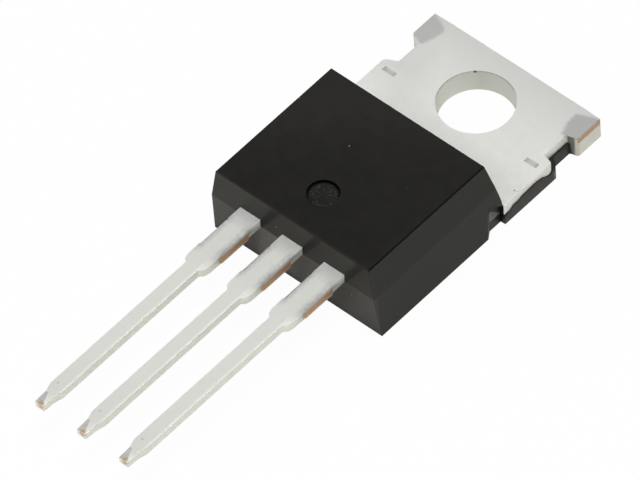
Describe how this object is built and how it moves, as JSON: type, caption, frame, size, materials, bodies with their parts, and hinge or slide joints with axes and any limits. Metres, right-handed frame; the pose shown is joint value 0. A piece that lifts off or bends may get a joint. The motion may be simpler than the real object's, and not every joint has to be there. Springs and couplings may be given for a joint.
{
  "type": "power transistor",
  "caption": "Power transistor in a flat black moulded body with a drilled metal cooling tab at one end and a row of parallel flat leads at the other.",
  "frame": {"origin": "centre of the mounting hole on the back face of the tab, where the part bears on a heat sink", "axes": "+Z is the normal of the marked front face, +Y runs along the part towards the tab end, +X is to the right when the front face is seen with the leads down"},
  "size_m": [0.0102, 0.0298, 0.0044],
  "materials": {
    "mould_compound": "matte black moulded epoxy with a fine spark-eroded grain",
    "tinned_copper": "copper with a matte tin plating, bare copper where it was cut from its strip",
    "silicon": "smooth grey semiconductor chip",
    "solder": "dull grey solder",
    "bond_wire": "bright drawn aluminium wire"
  },
  "bodies": {
    "root": {"mould_body": "mould_compound", "heat_sink_tab": "tinned_copper", "gate_lead": "tinned_copper", "source_lead": "tinned_copper", "silicon_chip": "silicon", "chip_solder": "solder", "gate_bond_wire": "bond_wire", "source_bond_wire_1": "bond_wire", "source_bond_wire_2": "bond_wire", "source_bond_wire_3": "bond_wire"}
  },
  "joints": []
}
